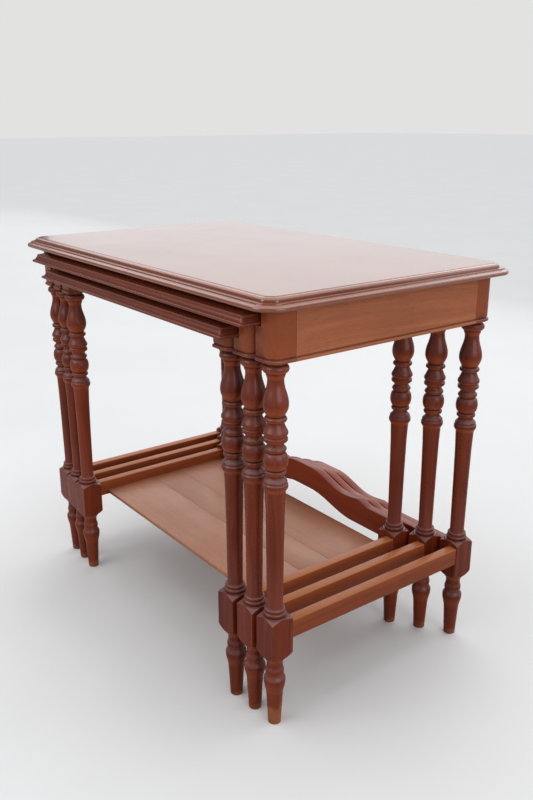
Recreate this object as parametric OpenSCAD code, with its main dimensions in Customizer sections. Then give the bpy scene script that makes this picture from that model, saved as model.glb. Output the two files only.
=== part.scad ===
// Nest of three tables with moulded tops, turned legs, end stretchers and serpentine
// back rails. The middle and the small table slide forwards, along -Y, out from under
// the large one. Millimetres, +Z up, the open long side at -Y, the ground at Z = 0.

/* [Nest] */
// Height of the large table over its top
nest_height = 600; // [592:1:640]
// Half the distance between the large table's leg centres along its length
leg_half_x = 313.5; // [280:0.5:340]
// Half the distance between the large table's leg centres across its depth
leg_half_y = 179.5; // [150:0.5:200]
// How much narrower each inner table is on each side
side_step = 41; // [41:0.5:45]
// How much nearer the front each inner table's back legs stand
back_step = 27; // [22:0.5:32]
// How far each inner table stands proud of the next larger one at the front
front_step = 3; // [0:0.5:8]
// How much lower each inner top lies
drop_step = 22; // [20:0.5:24]

/* [Tops] */
// Thickness of each top
top_t = 16; // [15:0.5:18]
// Width of the moulding round each top
mould_w = 19.3; // [18:0.1:20]
// Overhang of the large top past its end posts
large_overhang = 20; // [15:0.5:30]
// Overhang of the inner tops past their end posts
inner_overhang = 16; // [13:0.5:18]
// Overhang of every top past its front posts
front_overhang = 25.5; // [20:0.5:30]
// Overhang of the inner tops past their back posts
inner_back_overhang = 5; // [2:0.5:6]
// Length of the large top's clipped corners along each side
corner_cut = 20; // [12:0.5:40]

/* [Legs] */
// Side of the square posts and blocks
block = 35; // [33:0.5:37]
// Radius of each post's outer corner
post_r = 14; // [6:0.5:16]
// Height of the underside of the posts and aprons
post_z = 517; // [515:1:519]
// Height of the underside of the lower blocks
block_z0 = 103; // [100:1:106]
// Height of the top of the lower blocks
block_z1 = 170; // [169:1:173]
// Height of the pommel curve that squares the block's lower end
pommel_low = 13; // [10:1:20]
// Height of the pommel curve that squares the block's upper end
pommel_high = 7; // [5:1:12]

/* [Aprons and stretchers] */
// Thickness of the aprons
apron_t = 19; // [16:0.5:20]
// Height of the bead along the foot of the end aprons
bead_h = 4.7; // [3:0.1:6]
// How far the bead stands proud
bead_out = 1.8; // [1:0.1:2]
// Height of the quirk over the bead
quirk_h = 2.4; // [1:0.1:4]
// Thickness of the end stretchers
stretcher_t = 15.6; // [12:0.1:20]
// Height of the underside of the end stretchers
stretcher_z = 134; // [125:1:140]
// Depth of the end stretchers
stretcher_h = 26.8; // [20:0.2:30]
// How far the end stretchers lie back from the outer faces of the blocks
stretcher_inset = 1.5; // [0:0.5:4]

/* [Back rails] */
// Thickness of the back rails
rail_t = 15.5; // [12:0.5:18]
// Height of the small table's rail at the lower edge of its ends
rail_z = 141; // [136:1:143]
// Height of its upper edge at the ends
rail_end_z = 178; // [174:1:180]
// Height of the middle of its upper edge
rail_crown_z = 202.5; // [192:0.5:208]
// Height of the small shoulder in each half of its upper edge
rail_shoulder_z = 185.3; // [184.2:0.1:188]
// Height of the hollow between the crown and each shoulder
rail_hollow_z = 182.3; // [180.5:0.1:184]
// Rise of the arch in its lower edge
rail_arch = 20.5; // [10:0.5:28]
// How much lower each larger table's rail lies
rail_step = 11; // [6:0.5:12]

/* [Shelf] */
// Height of the upper face of the small table's shelf
shelf_z = 143; // [142:0.5:150]
// Thickness of the shelf boards
shelf_t = 6; // [4:0.5:8]
// Gap between the front blocks and the shelf
shelf_front_gap = 22; // [5:1:60]
// Gap between the shelf and the back blocks
shelf_back_gap = 2; // [1:1:30]
// Width of the front shelf board
front_board_w = 95; // [60:1:110]
// Width of the middle shelf board
middle_board_w = 58; // [30:1:70]

/* [Hidden] */

$fn = 48;
LARGE = 0;
MIDDLE = 1;
SMALL = 2;
RED_BROWN = [0.38, 0.15, 0.10];
ORANGE_BROWN = [0.58, 0.33, 0.20];
TOP_BROWN = [0.55, 0.30, 0.22];
SHELF_TAN = [0.62, 0.42, 0.32];

half = block / 2;
// The inner tables stand proud at the front, so the large table is set back by half
// of that: the origin is then under the middle of the whole nest.
centre_y = front_step;
tenon_t = 8;
tenon_l = 12;
tenon_edge = 5;
fit = 0.15;
notch_play = 1.5;
housing = 5;
board_gap = 0.2;
quirk_d = 1.2;
arc_steps = 6;
rail_steps = 12;
// Distances from the middle of a rail to the ends of its crown, its hollows, its
// shoulders and the start of its level ends, and the half width of its arch
crown_x = 20;
hollow_x = 107;
shoulder_x = 138;
level_x = 172;
arch_x = 130;

function leg_x(i) = leg_half_x - side_step * i;
function front_y(i) = centre_y - leg_half_y - front_step * i;
function back_y(i) = centre_y + leg_half_y - back_step * i;
function top_z(i) = nest_height - drop_step * i;
function post_top(i) = top_z(i) - top_t;
function end_overhang(i) = i == LARGE ? large_overhang : inner_overhang;
function back_overhang(i) = i == LARGE ? front_overhang : inner_back_overhang;
function top_half_x(i) = leg_x(i) + half + end_overhang(i);
function rail_drop(i) = rail_step * (SMALL - i);
// Heights between which a rail's tenons reach.
function rail_tenon_low(i) = rail_z - rail_drop(i) + tenon_edge;
function rail_tenon_high(i) = min(block_z1 - 2 * tenon_edge, rail_end_z - rail_drop(i) - tenon_edge);

// Half a wave between two points, as [distance, height] pairs.
function ease(a, b, n = arc_steps) =
    [for (k = [0 : n]) let (t = (1 - cos(180 * k / n)) / 2)
        [a.x + (b.x - a.x) * t, a.y + (b.y - a.y) * k / n]];
// A round swelling between two heights on a turned stem of radius r.
function bead(z0, z1, r, swell, n = arc_steps) =
    [for (k = [0 : n]) [r + swell * sin(180 * k / n), z0 + (z1 - z0) * k / n]];
// A quarter wave that leaves its start fast and settles at its end.
function settle(a, b, n = arc_steps) =
    [for (k = [0 : n]) [a.x + (b.x - a.x) * sin(90 * k / n), a.y + (b.y - a.y) * k / n]];
// Points on an arc about a centre.
function arc(c, r, a0, a1, n = arc_steps) =
    [for (k = [0 : n]) let (a = a0 + (a1 - a0) * k / n) c + r * [cos(a), sin(a)]];

// ---- tops ----

// Edge of the large top, from the flat outwards and down: quirk, ovolo, fillet, cove
// and round nose. Each point is [distance out from the flat, height over the underside].
function large_edge() =
    let (nose = 3.3, ovolo = 5.6, cove = 2.8, quirk = 1)
    concat(
        [[0, top_t], [0, top_t - quirk]],
        arc([0.8, top_t - quirk - ovolo], ovolo, 90, 0),
        [[0.8 + ovolo + 2.4, top_t - quirk - ovolo]],
        arc([mould_w - nose, 2 * nose + cove], cove, 180, 270),
        arc([mould_w - nose, nose], nose, 90, -90)
    );

// Edge of an inner top: a low bevel, a fillet, a deep hollow and a small round nose.
function inner_edge() =
    let (nose = 2.2, fillet_x = 12.5, fillet_z = 12.6, lip = 1.6)
    concat(
        [[0, top_t], [fillet_x, fillet_z], [fillet_x, fillet_z - lip]],
        ease([fillet_x, fillet_z - lip], [mould_w - nose - 1.5, 2 * nose]),
        arc([mould_w - nose, nose], nose, 90, -90)
    );

// Cross-section of a top between two moulded edges at x = low and x = high.
module moulded_section(low, high, edge) {
    right = [for (p = edge) [high - mould_w + p.x, p.y]];
    left = [for (k = [len(edge) - 1 : -1 : 0]) [low + mould_w - edge[k].x, edge[k].y]];
    polygon(concat(left, right));
}

// A top is what its cross-sections have in common: along X, along Y and, on the large
// one, along both diagonals, which clip the corners.
module table_top(i) {
    edge = i == LARGE ? large_edge() : inner_edge();
    hx = top_half_x(i);
    y0 = front_y(i) - half - front_overhang;
    y1 = back_y(i) + half + back_overhang(i);
    reach = 2 * hx;
    diagonal = (hx + (y1 - y0) / 2 - corner_cut) / sqrt(2);
    color(TOP_BROWN)
    translate([0, 0, post_top(i)])
    intersection() {
        translate([0, reach / 2, 0])
            rotate([90, 0, 0])
            linear_extrude(reach)
            moulded_section(-hx, hx, edge);
        translate([-reach / 2, 0, 0])
            rotate([90, 0, 90])
            linear_extrude(reach)
            moulded_section(y0, y1, edge);
        if (i == LARGE)
            for (turn = [45, -45])
                translate([0, (y0 + y1) / 2, 0])
                rotate([0, 0, turn])
                translate([0, reach / 2, 0])
                rotate([90, 0, 0])
                linear_extrude(reach)
                moulded_section(-diagonal, diagonal, edge);
    }
}

// ---- legs ----

// Turned outline of a leg from the ground to the post, as [radius, height] pairs.
function leg_outline() = concat(
    [[0, 0], [8.9, 0], [11.2, 44]],
    ease([11.4, 46], [15, 69]),          // bulb over the foot
    ease([15, 70.5], [11.8, 79.6]),
    [[11.3, 80.4], [12.6, 81.6], [12.7, 84]],
    ease([12.6, 85], [11, 92.6]),        // band over the bulb
    [[11, 99], [13.4, 102], [13.4, block_z0], [13.4, block_z1]],
    bead(block_z1, 176, 13.2, 2),        // two rings on the block
    bead(176, 181.5, 12.3, 1.7),
    [[10.7, 184.5], [11.5, 270], [12.3, 322]],
    ease([13.3, 347], [16.5, 355]),      // flared collar
    [[16.2, 358.2], [14.9, 360.2]],
    ease([15.3, 360.8], [11.1, 368.3]),
    bead(370.3, 377.3, 11.3, 2.5),
    bead(377.8, 400.8, 12.6, 3.4),       // ball
    ease([13.2, 401.4], [14, 404.6], 3),
    ease([14, 405.2], [11.1, 411]),
    ease([11.2, 411.4], [15.5, 417]),    // pair of ridges
    [[15.3, 419.8], [14.5, 421.2]],
    ease([14.6, 421.6], [15.9, 425.5], 3),
    [[15.6, 428.4], [14.9, 429.8], [13.2, 433.4], [11.1, 438.6]],
    bead(440.4, 447.6, 11.5, 2.9),
    settle([12.4, 448.3], [16.4, 462.5]), // vase
    ease([16.4, 463.5], [10.4, 493.5]),
    ease([10.4, 494.5], [12.8, 502]),
    bead(503, 513.5, 13.4, 3.2),         // ring under the post
    [[13.6, post_z + 1], [0, post_z + 1]]
);

// Solid of revolution that rounds the ends of the lower block into pommels.
function pommel_outline() =
    let (corner = half * sqrt(2) + 0.2, neck = 13.6, crown = 17.4)
    concat(
        [[0, block_z0]],
        ease([neck, block_z0], [corner, block_z0 + pommel_low]),
        ease([corner, block_z1 - pommel_high], [crown, block_z1]),
        [[0, block_z1]]
    );

// Square with one rounded corner, at +X and -Y, centred on the leg. Its two faces that
// meet there are moved out by d.
module post_section(d = 0) {
    r = post_r + d;
    translate([-half, r - half - d])
        square([block + d, block + d - r]);
    translate([-half, -half - d])
        square([block + d - r, r + 1]);
    translate([half + d - r, r - half - d])
        circle(r);
}

// Post over the turning, standing on its bead and quirk.
module post(height) {
    quirk_z = post_z + bead_h;
    face_z = quirk_z + quirk_h;
    translate([0, 0, post_z])
        linear_extrude(bead_h)
        post_section(bead_out * 0.6);
    translate([0, 0, post_z + bead_h * 0.2])
        linear_extrude(bead_h * 0.6)
        post_section(bead_out);
    translate([0, 0, quirk_z])
        linear_extrude(quirk_h)
        post_section(-quirk_d);
    translate([0, 0, face_z])
        linear_extrude(post_z + height - face_z)
        post_section();
}

// Lower block: a square prism with its ends turned to pommels.
module lower_block() {
    intersection() {
        translate([-half, -half, block_z0])
            cube([block, block, block_z1 - block_z0]);
        rotate_extrude()
            polygon(pommel_outline());
    }
}

// Height over which a back apron's tenons reach, below the notch for the next top.
function back_tenon_top(i) = (i == SMALL ? post_top(i) : post_top(i + 1) - notch_play) - tenon_edge;
function end_tenon_z() = post_z + bead_h + quirk_h + tenon_edge;

// Box given by its low and high corners, grown by g on every side.
module box(low, high, g = 0) {
    translate(low - [g, g, g])
        cube(high - low + 2 * [g, g, g]);
}

// Mortises of one leg of table i, in the leg's own place: +X out to the end of the
// table, -Y out to the front or the back.
module mortises(i, is_back) {
    apron_mid = half - apron_t / 2;
    stretcher_mid = half - stretcher_inset - stretcher_t / 2;
    rail_mid = half - rail_t / 2;
    deep = half - tenon_l;
    past = half + 1;
    box([apron_mid - tenon_t / 2, deep, end_tenon_z()],
        [apron_mid + tenon_t / 2, past, post_top(i) - tenon_edge], fit);
    box([stretcher_mid - tenon_t / 2, deep, stretcher_z + tenon_edge],
        [stretcher_mid + tenon_t / 2, past, stretcher_z + stretcher_h - tenon_edge], fit);
    if (is_back) {
        box([-past, -apron_mid - tenon_t / 2, post_z + tenon_edge],
            [-deep, -apron_mid + tenon_t / 2, back_tenon_top(i)], fit);
        box([-past, -rail_mid - tenon_t / 2, rail_tenon_low(i)],
            [-deep, -rail_mid + tenon_t / 2, rail_tenon_high(i)], fit);
    }
}

// Notch in the inner face of a post, through which the next smaller top slides.
module top_notch(i) {
    depth = top_half_x(i + 1) + notch_play - (leg_x(i) - half);
    z = post_top(i + 1) - notch_play;
    box([-half - 1, -block, z], [depth - half, block, post_top(i) + 1]);
}

// One leg of table i. side is +1 at the right and -1 at the left.
module leg(i, side, is_back) {
    y = is_back ? back_y(i) : front_y(i);
    color(RED_BROWN)
    translate([side * leg_x(i), y, 0])
    scale([side, is_back ? -1 : 1, 1])
    difference() {
        union() {
            rotate_extrude()
                polygon(leg_outline());
            lower_block();
            post(post_top(i) - post_z);
        }
        mortises(i, is_back);
        if (i != SMALL)
            top_notch(i);
    }
}

// ---- aprons, stretchers, rails and shelf ----

// End apron of table i with its bead, quirk and tenons.
module end_apron(i, side) {
    y0 = front_y(i) + half;
    y1 = back_y(i) - half;
    outer = leg_x(i) + half;
    inner = outer - apron_t;
    quirk_z = post_z + bead_h;
    mid = (outer + inner) / 2;
    color(ORANGE_BROWN)
    scale([side, 1, 1]) {
        box([inner, y0, quirk_z + quirk_h], [outer, y1, post_top(i)]);
        box([inner, y0, quirk_z], [outer - quirk_d, y1, quirk_z + quirk_h]);
        box([inner, y0, post_z], [outer + bead_out * 0.6, y1, quirk_z]);
        box([inner, y0, post_z + bead_h * 0.2], [outer + bead_out, y1, quirk_z - bead_h * 0.2]);
        box([mid - tenon_t / 2, y0 - tenon_l, end_tenon_z()],
            [mid + tenon_t / 2, y1 + tenon_l, post_top(i) - tenon_edge]);
    }
}

// Plain back apron of table i between its back posts.
module back_apron(i) {
    x = leg_x(i) - half;
    y1 = back_y(i) + half;
    mid = y1 - apron_t / 2;
    color(ORANGE_BROWN) {
        box([-x, y1 - apron_t, post_z], [x, y1, post_top(i)]);
        box([-x - tenon_l, mid - tenon_t / 2, post_z + tenon_edge],
            [x + tenon_l, mid + tenon_t / 2, back_tenon_top(i)]);
    }
}

// End stretcher of table i. The small table's are grooved for the shelf.
module stretcher(i, side) {
    y0 = front_y(i) + half;
    y1 = back_y(i) - half;
    outer = leg_x(i) + half - stretcher_inset;
    inner = outer - stretcher_t;
    mid = (outer + inner) / 2;
    color(ORANGE_BROWN)
    scale([side, 1, 1])
    difference() {
        union() {
            box([inner, y0, stretcher_z], [outer, y1, stretcher_z + stretcher_h]);
            box([mid - tenon_t / 2, y0 - tenon_l, stretcher_z + tenon_edge],
                [mid + tenon_t / 2, y1 + tenon_l, stretcher_z + stretcher_h - tenon_edge]);
        }
        if (i == SMALL)
            box([inner - 1, shelf_y0(), shelf_z - shelf_t], [inner + housing, shelf_y1(), shelf_z], fit);
    }
}

// Upper and lower edges of the right half of the small table's rail, drawn out to an
// end at x = reach. The other rails have the same edges, lower down.
function rail_upper(reach) = concat(
    [[0, rail_crown_z]],
    [for (k = [0 : rail_steps]) let (t = k / rail_steps)
        [crown_x + (hollow_x - crown_x) * t,
         rail_hollow_z + (rail_crown_z - rail_hollow_z) * (1 + cos(180 * t)) / 2]],
    [for (k = [1 : arc_steps]) let (t = k / arc_steps)
        [hollow_x + (shoulder_x - hollow_x) * t,
         rail_hollow_z + (rail_shoulder_z - rail_hollow_z) * (1 - cos(90 * t))]],
    [for (k = [1 : arc_steps]) let (t = k / arc_steps)
        [shoulder_x + (level_x - shoulder_x) * t,
         rail_end_z + (rail_shoulder_z - rail_end_z) * (1 + cos(180 * t)) / 2]],
    [[reach, rail_end_z]]
);
function rail_lower(reach) = concat(
    [[0, rail_z + rail_arch]],
    [for (k = [0 : rail_steps]) let (t = k / rail_steps)
        [crown_x + (arch_x - crown_x) * t, rail_z + rail_arch * (1 + cos(180 * t)) / 2]],
    [[reach, rail_z]]
);
function mirrored(half_edge) = concat(
    [for (k = [len(half_edge) - 1 : -1 : 1]) [-half_edge[k].x, half_edge[k].y]],
    half_edge
);

// Serpentine back rail of table i between its back blocks.
module back_rail(i) {
    x = leg_x(i) - half;
    y1 = back_y(i) + half;
    mid = y1 - rail_t / 2;
    upper = mirrored(rail_upper(x));
    lower = mirrored(rail_lower(x));
    backwards = [for (k = [len(lower) - 1 : -1 : 0]) lower[k]];
    color(RED_BROWN) {
        translate([0, y1, -rail_drop(i)])
            rotate([90, 0, 0])
            linear_extrude(rail_t)
            polygon(concat(upper, backwards));
        for (side = [-1, 1])
            scale([side, 1, 1])
            box([x - 1, mid - tenon_t / 2, rail_tenon_low(i)],
                [x + tenon_l, mid + tenon_t / 2, rail_tenon_high(i)]);
    }
}

function shelf_y0() = front_y(SMALL) + half + shelf_front_gap;
function shelf_y1() = back_y(SMALL) - half - shelf_back_gap;

// One board of the shelf, between y0 and y1, housed in both stretchers.
module shelf_board(y0, y1) {
    x = leg_x(SMALL) + half - stretcher_inset - stretcher_t + housing;
    color(SHELF_TAN)
    box([-x, y0, shelf_z - shelf_t], [x, y1, shelf_z]);
}

front_joint_y = shelf_y0() + front_board_w;
back_joint_y = front_joint_y + middle_board_w;

module l_top() { table_top(LARGE); }
module l_leg_fl() { leg(LARGE, -1, false); }
module l_leg_fr() { leg(LARGE, 1, false); }
module l_leg_bl() { leg(LARGE, -1, true); }
module l_leg_br() { leg(LARGE, 1, true); }
module l_apron_left() { end_apron(LARGE, -1); }
module l_apron_right() { end_apron(LARGE, 1); }
module l_apron_back() { back_apron(LARGE); }
module l_stretcher_left() { stretcher(LARGE, -1); }
module l_stretcher_right() { stretcher(LARGE, 1); }
module l_rail() { back_rail(LARGE); }

module m_top() { table_top(MIDDLE); }
module m_leg_fl() { leg(MIDDLE, -1, false); }
module m_leg_fr() { leg(MIDDLE, 1, false); }
module m_leg_bl() { leg(MIDDLE, -1, true); }
module m_leg_br() { leg(MIDDLE, 1, true); }
module m_apron_left() { end_apron(MIDDLE, -1); }
module m_apron_right() { end_apron(MIDDLE, 1); }
module m_apron_back() { back_apron(MIDDLE); }
module m_stretcher_left() { stretcher(MIDDLE, -1); }
module m_stretcher_right() { stretcher(MIDDLE, 1); }
module m_rail() { back_rail(MIDDLE); }

module s_top() { table_top(SMALL); }
module s_leg_fl() { leg(SMALL, -1, false); }
module s_leg_fr() { leg(SMALL, 1, false); }
module s_leg_bl() { leg(SMALL, -1, true); }
module s_leg_br() { leg(SMALL, 1, true); }
module s_apron_left() { end_apron(SMALL, -1); }
module s_apron_right() { end_apron(SMALL, 1); }
module s_apron_back() { back_apron(SMALL); }
module s_stretcher_left() { stretcher(SMALL, -1); }
module s_stretcher_right() { stretcher(SMALL, 1); }
module s_rail() { back_rail(SMALL); }

module shelf_front() { shelf_board(shelf_y0(), front_joint_y - board_gap / 2); }
module shelf_middle() { shelf_board(front_joint_y + board_gap / 2, back_joint_y - board_gap / 2); }
module shelf_back() { shelf_board(back_joint_y + board_gap / 2, shelf_y1()); }

l_top();
l_leg_fl();
l_leg_fr();
l_leg_bl();
l_leg_br();
l_apron_left();
l_apron_right();
l_apron_back();
l_stretcher_left();
l_stretcher_right();
l_rail();
m_top();
m_leg_fl();
m_leg_fr();
m_leg_bl();
m_leg_br();
m_apron_left();
m_apron_right();
m_apron_back();
m_stretcher_left();
m_stretcher_right();
m_rail();
s_top();
s_leg_fl();
s_leg_fr();
s_leg_bl();
s_leg_br();
s_apron_left();
s_apron_right();
s_apron_back();
s_stretcher_left();
s_stretcher_right();
s_rail();
shelf_front();
shelf_middle();
shelf_back();
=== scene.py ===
"""A nest of three mahogany tables: moulded tops, turned legs and serpentine back rails.

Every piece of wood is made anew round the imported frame, table by table. Metres, +Z up,
the open long side at -Y; the middle and the small table slide out that way.
"""

import logging
import math
import random
from dataclasses import dataclass, field, replace
from enum import Enum
from typing import Any, Callable, Iterable

import bmesh
import bpy
from bmesh.types import BMEdge, BMesh, BMFace, BMVert
from bpy.types import ID, Material, Node, NodeSocket, NodeTree, Object, World
from mathutils import Matrix, Vector

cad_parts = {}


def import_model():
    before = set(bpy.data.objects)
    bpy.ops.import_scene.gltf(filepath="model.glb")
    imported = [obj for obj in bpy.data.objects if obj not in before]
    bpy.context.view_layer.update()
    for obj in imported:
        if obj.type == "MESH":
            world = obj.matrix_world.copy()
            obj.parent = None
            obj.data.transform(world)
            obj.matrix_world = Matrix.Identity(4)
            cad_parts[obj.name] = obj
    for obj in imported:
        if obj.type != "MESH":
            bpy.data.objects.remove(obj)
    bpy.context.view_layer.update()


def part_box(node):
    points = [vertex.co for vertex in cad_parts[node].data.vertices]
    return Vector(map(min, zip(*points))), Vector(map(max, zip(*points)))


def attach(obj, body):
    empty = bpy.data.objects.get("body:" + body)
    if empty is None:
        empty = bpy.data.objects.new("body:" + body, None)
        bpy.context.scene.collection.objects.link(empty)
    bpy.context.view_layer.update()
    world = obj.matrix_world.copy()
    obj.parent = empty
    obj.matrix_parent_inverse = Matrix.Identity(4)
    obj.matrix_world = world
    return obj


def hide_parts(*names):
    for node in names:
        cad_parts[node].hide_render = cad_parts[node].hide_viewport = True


LOG = logging.getLogger("nest")
MM = 0.001
BLOCK = 35.0  # side of the square blocks and posts, in millimetres
MERGE = 1e-6  # points of a shell that lie nearer than this are one
ON_CUT = 1e-7  # a point this near a cut lies on it
ALONG = 0.99  # how closely an edge follows an axis that it runs along
Point = tuple[float, float]
Colour = tuple[float, float, float]


class Rank(Enum):
    """One of the three tables, by the letter that its nodes start with."""

    LARGE = "l"
    MIDDLE = "m"
    SMALL = "s"

    @property
    def body(self) -> str:
        """The body that the table's pieces ride on."""
        return f"{self.name.lower()}_table"

    @property
    def depth(self) -> int:
        """How many larger tables stand round this one."""
        return list(Rank).index(self)

    @property
    def inner(self) -> "Rank | None":
        """The next smaller table, where there is one."""
        return None if self is Rank.SMALL else list(Rank)[self.depth + 1]


class Side(Enum):
    """An end of a table, by its sign along X."""

    LEFT = -1
    RIGHT = 1


class Row(Enum):
    """A long side of a table, by its sign along Y."""

    FRONT = -1
    BACK = 1


class Grain(Enum):
    """The axis that a piece's grain runs along, with the turn that brings it to X."""

    ALONG_X = (0.0, 0.0, 0.0)
    ALONG_Y = (0.0, 0.0, -math.pi / 2)
    ALONG_Z = (0.0, math.pi / 2, 0.0)


# ----- Curves of the mouldings and turnings -----


def ease(start: Point, end: Point, steps: int = 12) -> list[Point]:
    """Draws half a wave between two points.

    Args:
        start: First point, as (across, up).
        end: Last point.
        steps: Stretches in the curve.

    Returns:
        The points of the curve, its ends included.
    """
    points = []
    for k in range(steps + 1):
        share = k / steps
        bend = (1 - math.cos(math.pi * share)) / 2
        points.append((start[0] + (end[0] - start[0]) * bend,
                       start[1] + (end[1] - start[1]) * share))
    return points


def settle(start: Point, end: Point, steps: int = 12) -> list[Point]:
    """Draws a quarter wave that leaves its start fast and settles at its end.

    Args:
        start: First point, as (across, up).
        end: Last point.
        steps: Stretches in the curve.

    Returns:
        The points of the curve, its ends included.
    """
    shares = [k / steps for k in range(steps + 1)]
    return [(start[0] + (end[0] - start[0]) * math.sin(math.pi / 2 * share),
             start[1] + (end[1] - start[1]) * share) for share in shares]


def bead(low: float, high: float, radius: float, swell: float, steps: int = 12) -> list[Point]:
    """Draws a round swelling on a stem.

    Args:
        low: Height where the swelling starts.
        high: Height where it ends.
        radius: Radius of the stem.
        swell: How far the swelling stands proud of the stem.
        steps: Stretches in the curve.

    Returns:
        The points as (radius, height).
    """
    middle, half = (low + high) / 2, (high - low) / 2
    angles = [math.pi * k / steps for k in range(steps + 1)]
    return [(radius + swell * math.sin(a), middle - half * math.cos(a)) for a in angles]


def arc(centre: Point, radius: float, start: float, end: float, steps: int = 10) -> list[Point]:
    """Draws an arc.

    Args:
        centre: Centre of the arc.
        radius: Radius of the arc.
        start: First angle in degrees.
        end: Last angle in degrees.
        steps: Stretches in the arc.

    Returns:
        The points of the arc, its ends included.
    """
    angles = [math.radians(start + (end - start) * k / steps) for k in range(steps + 1)]
    return [(centre[0] + radius * math.cos(a), centre[1] + radius * math.sin(a)) for a in angles]


def metres(points: Iterable[Point]) -> list[Point]:
    """Turns a drawing in millimetres into metres."""
    return [(across * MM, up * MM) for across, up in points]


# ----- Bench work that every piece shares -----


def close_up(shell: BMesh) -> BMesh:
    """Merges a shell's doubles and turns its faces outwards.

    Args:
        shell: The shell to close.

    Returns:
        The same shell.
    """
    bmesh.ops.remove_doubles(shell, verts=shell.verts[:], dist=MERGE)
    bmesh.ops.recalc_face_normals(shell, faces=shell.faces[:])
    return shell


def turned(outline: list[Point], steps: int = 64) -> BMesh:
    """Turns an outline round the Z axis.

    Args:
        outline: Points as (radius, height), starting and ending on the axis.
        steps: Facets round the turning.

    Returns:
        A closed shell.
    """
    shell = bmesh.new()
    verts = [shell.verts.new((radius, 0.0, height)) for radius, height in outline]
    edges = [shell.edges.new(pair) for pair in zip(verts, verts[1:])]
    bmesh.ops.spin(shell, geom=verts + edges, cent=(0, 0, 0), axis=(0, 0, 1), dvec=(0, 0, 0),
                   angle=2 * math.pi, steps=steps, use_merge=True, use_duplicate=False)
    return close_up(shell)


def planed(shell: BMesh, reach: float) -> BMesh:
    """Planes four upright flats on a turned shell.

    Args:
        shell: A closed shell round the Z axis.
        reach: Distance of each flat from the axis.

    Returns:
        The same shell, square in plan where it was wider than the flats.
    """
    for normal in (Vector((1, 0, 0)), Vector((-1, 0, 0)), Vector((0, 1, 0)), Vector((0, -1, 0))):
        everything = shell.verts[:] + shell.edges[:] + shell.faces[:]
        bmesh.ops.bisect_plane(shell, geom=everything, dist=ON_CUT, plane_co=normal * reach,
                               plane_no=normal, clear_outer=True)
        rim = [edge for edge in shell.edges if edge.is_boundary]
        bmesh.ops.contextual_create(shell, geom=rim)
    return close_up(shell)


def board(low: Vector, high: Vector, run: Grain, soften: float) -> BMesh:
    """Planes a board and softens its long arrises.

    Args:
        low: Lowest corner.
        high: Highest corner.
        run: The axis that its long arrises follow.
        soften: Width of the softening.

    Returns:
        A closed shell.
    """
    shell = bmesh.new()
    bmesh.ops.create_cube(shell, size=1.0)
    bmesh.ops.scale(shell, vec=high - low, verts=shell.verts[:])
    bmesh.ops.translate(shell, vec=(low + high) / 2, verts=shell.verts[:])
    axis = list(Grain).index(run)
    arrises = [edge for edge in shell.edges if follows(edge, axis) > ALONG]
    return rounded(shell, arrises, soften)


def rounded(shell: BMesh, edges: list[BMEdge], width: float, segments: int = 3) -> BMesh:
    """Rounds some edges of a shell.

    Args:
        shell: The shell to work on.
        edges: The edges to round.
        width: Width of the rounding on each side of an edge.
        segments: Facets across the rounding.

    Returns:
        The same shell.
    """
    bmesh.ops.bevel(shell, geom=edges, offset=width, offset_type="OFFSET", segments=segments,
                    profile=0.5, affect="EDGES", clamp_overlap=True, material=-1)
    return shell


def follows(edge: BMEdge, axis: int) -> float:
    """Says how closely an edge follows an axis, from 0 across it to 1 along it."""
    return abs((edge.verts[1].co - edge.verts[0].co).normalized()[axis])


def sharp_edges(shell: BMesh, angle: float) -> list[BMEdge]:
    """Finds the edges whose faces turn by more than an angle in degrees."""
    return [edge for edge in shell.edges
            if len(edge.link_faces) == 2 and edge.calc_face_angle() > math.radians(angle)]


def sawn(outline: list[Point], length: float) -> BMesh:
    """Saws a board of one section.

    Args:
        outline: The section in the X-Z plane, in order round it.
        length: Length of the board, from Y = 0 along +Y.

    Returns:
        A closed shell.
    """
    shell = bmesh.new()
    face = shell.faces.new([shell.verts.new((x, 0.0, z)) for x, z in outline])
    grown = bmesh.ops.extrude_face_region(shell, geom=[face], use_keep_orig=True)["geom"]
    far = [item for item in grown if isinstance(item, BMVert)]
    bmesh.ops.translate(shell, verts=far, vec=(0.0, length, 0.0))
    return close_up(shell)


def rounded_plan(corners: list[Point], radius: Callable[[Point], float],
                 segments: int) -> list[Point]:
    """Rounds the corners of a plan.

    Args:
        corners: The corners in order round it.
        radius: Gives the radius of the corner at a place.
        segments: Stretches in each rounding.

    Returns:
        The new plan, anticlockwise.
    """
    flat = bmesh.new()
    flat.faces.new([flat.verts.new((x, y, 0.0)) for x, y in corners])
    for corner in corners:
        vert = min(flat.verts, key=lambda v, c=corner: (v.co.xy - Vector(c)).length)
        bmesh.ops.bevel(flat, geom=[vert], offset=radius(corner), offset_type="OFFSET",
                        segments=segments, profile=0.5, affect="VERTICES", material=-1)
    flat.faces.ensure_lookup_table()
    plan = [(vert.co.x, vert.co.y) for vert in flat.faces[0].verts]
    flat.free()
    area = sum(a[0] * b[1] - b[0] * a[1] for a, b in zip(plan, plan[1:] + plan[:1]))
    return plan if area > 0 else plan[::-1]


def mitres(plan: list[Point]) -> list[Vector]:
    """Works out how each corner of a plan moves when its sides all move out by one.

    Args:
        plan: Corners in order, anticlockwise.

    Returns:
        One vector for each corner.
    """
    ways = []
    for before, here, after in zip(plan[-1:] + plan[:-1], plan, plan[1:] + plan[:1]):
        sides = []
        for start, end in ((before, here), (here, after)):
            along = (Vector(end) - Vector(start)).normalized()
            sides.append(Vector((along.y, -along.x)))
        middle = (sides[0] + sides[1]).normalized()
        ways.append(middle / middle.dot(sides[0]))
    return ways


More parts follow.
